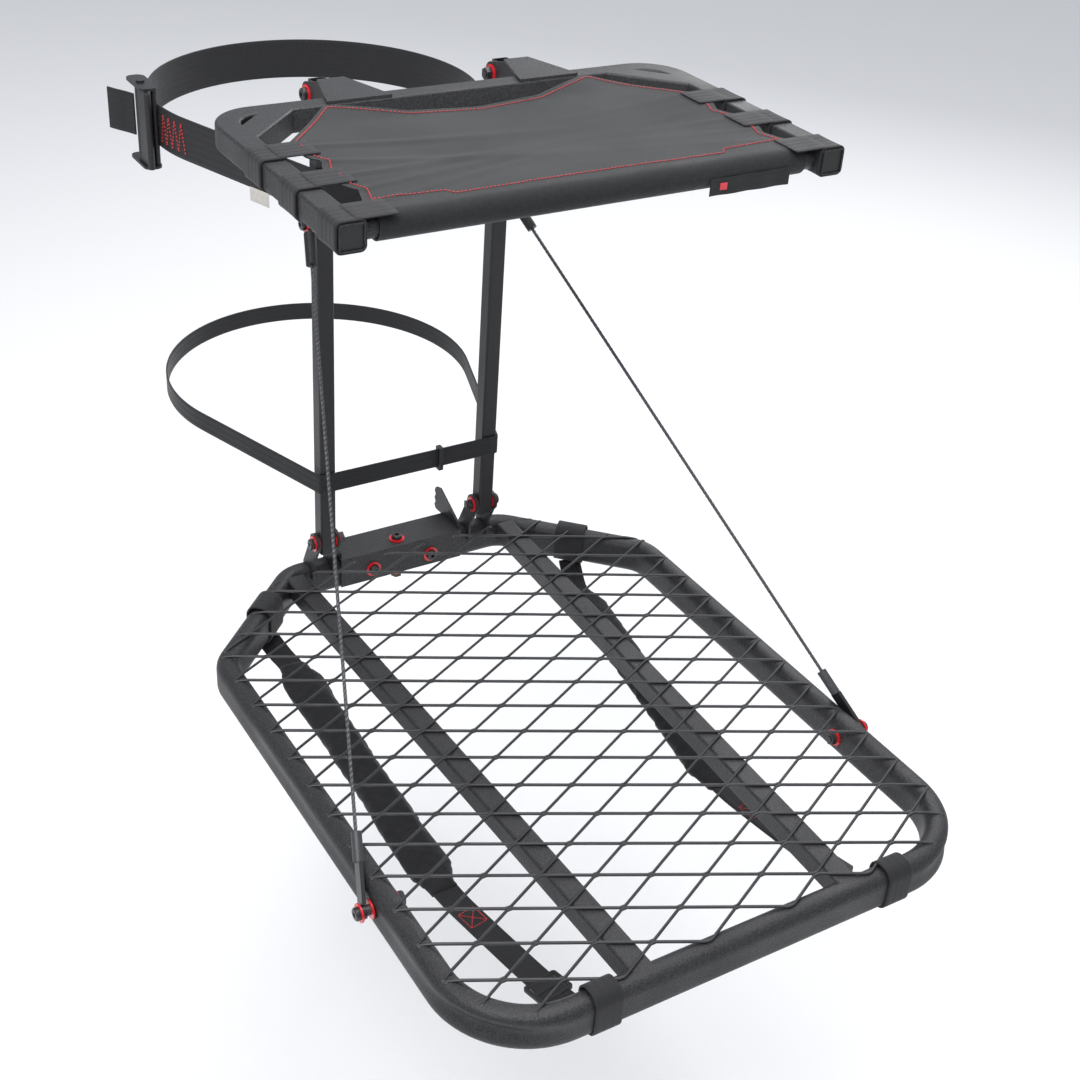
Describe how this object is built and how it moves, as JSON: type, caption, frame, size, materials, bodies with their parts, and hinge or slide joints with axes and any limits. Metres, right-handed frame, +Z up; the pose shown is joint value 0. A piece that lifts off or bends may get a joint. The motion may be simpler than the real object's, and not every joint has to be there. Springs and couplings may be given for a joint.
{
  "type": "hang-on tree stand",
  "caption": "Folding tree stand that hangs on a trunk: mesh platform, sling seat, posts, side cables, trunk straps with a cam buckle, and padded carry straps.",
  "frame": {"origin": "middle of the stand, on the plane of the posts' rear faces that lean on the trunk, at standing-surface height", "axes": "+X to the sitter's right, +Y into the trunk, +Z up"},
  "size_m": [0.646, 1.2157, 0.7021],
  "materials": {
    "powder_coat": "finely textured black powder coat",
    "red_washer": "bright red",
    "dark_fastener": "black oxide, slightly glossy",
    "plated_link": "dull zinc plating",
    "cable_sleeve": "black heat-shrunk sleeve",
    "wire": "stranded galvanised wire",
    "plug": "black moulded",
    "webbing": "black ribbed webbing",
    "pad_cloth": "dark woven padded cover",
    "seat_cloth": "charcoal woven cloth"
  },
  "bodies": {
    "posts": {"buckle_frame": "dark_fastener", "buckle_pin": "dark_fastener", "cable_eye_left": "cable_sleeve", "cable_eye_right": "cable_sleeve", "cable_left": "wire", "cable_right": "wire", "cable_top_bolts": "dark_fastener", "cable_top_nuts": "dark_fastener", "cable_top_washers": "red_washer", "lower_strap": "webbing", "lower_strap_keeper": "plug", "post_left": "powder_coat", "post_right": "powder_coat", "upper_strap": "webbing", "upper_strap_tail": "webbing"},
    "buckle_lever": {"buckle_cam": "dark_fastener"},
    "platform": {"cable_foot_bolts": "dark_fastener", "cable_foot_nuts": "dark_fastener", "cable_foot_spacers": "plated_link", "cable_foot_washers": "red_washer", "cable_link_left": "plated_link", "cable_link_right": "plated_link", "cable_swage_left": "plated_link", "cable_swage_right": "plated_link", "lower_hinge_ears_left": "powder_coat", "lower_hinge_ears_right": "powder_coat", "platform_bar_left": "powder_coat", "platform_bar_right": "powder_coat", "platform_deck": "powder_coat", "platform_frame": "powder_coat", "platform_hinge_bolts": "dark_fastener", "platform_hinge_nuts": "dark_fastener", "platform_hinge_washers": "red_washer", "shoulder_pad_left": "pad_cloth", "shoulder_pad_right": "pad_cloth", "shoulder_slider_left": "plug", "shoulder_slider_right": "plug", "shoulder_webbing_front_left": "webbing", "shoulder_webbing_front_right": "webbing", "shoulder_webbing_rear_left": "webbing", "shoulder_webbing_rear_right": "webbing", "trunk_bracket": "powder_coat", "trunk_bracket_bolts": "dark_fastener", "trunk_bracket_nuts": "dark_fastener", "trunk_bracket_washers": "red_washer"},
    "seat": {"seat_arm_plugs": "plug", "seat_corner_brace_left": "powder_coat", "seat_corner_brace_right": "powder_coat", "seat_cross_tube": "powder_coat", "seat_fabric": "seat_cloth", "seat_frame": "powder_coat", "seat_hinge_bolts": "dark_fastener", "seat_hinge_bracket_left": "powder_coat", "seat_hinge_bracket_right": "powder_coat", "seat_hinge_nuts": "dark_fastener", "seat_hinge_washers": "red_washer", "seat_webbing_loops_left": "webbing", "seat_webbing_loops_right": "webbing"}
  },
  "joints": [
    {"name": "platform_fold", "type": "hinge", "parent": "posts", "child": "platform", "pos_m": [0, -0.01, 0.041], "axis": [-1, 0, 0], "range_deg": [0, 90], "deforming": ["cable_left", "cable_right"]},
    {"name": "seat_fold", "type": "hinge", "parent": "posts", "child": "seat", "pos_m": [0, -0.01, 0.601], "axis": [-1, 0, 0], "range_deg": [0, 90]},
    {"name": "buckle_open", "type": "hinge", "parent": "posts", "child": "buckle_lever", "pos_m": [-0.2159, 0.262, 0.497], "axis": [0, 0, -1], "range_deg": [0, 60], "stiffness_Nm_per_rad": 0.02}
  ],
  "couplings": [
    {"joint": "seat_fold", "follows": "platform_fold", "ratio": 1}
  ]
}
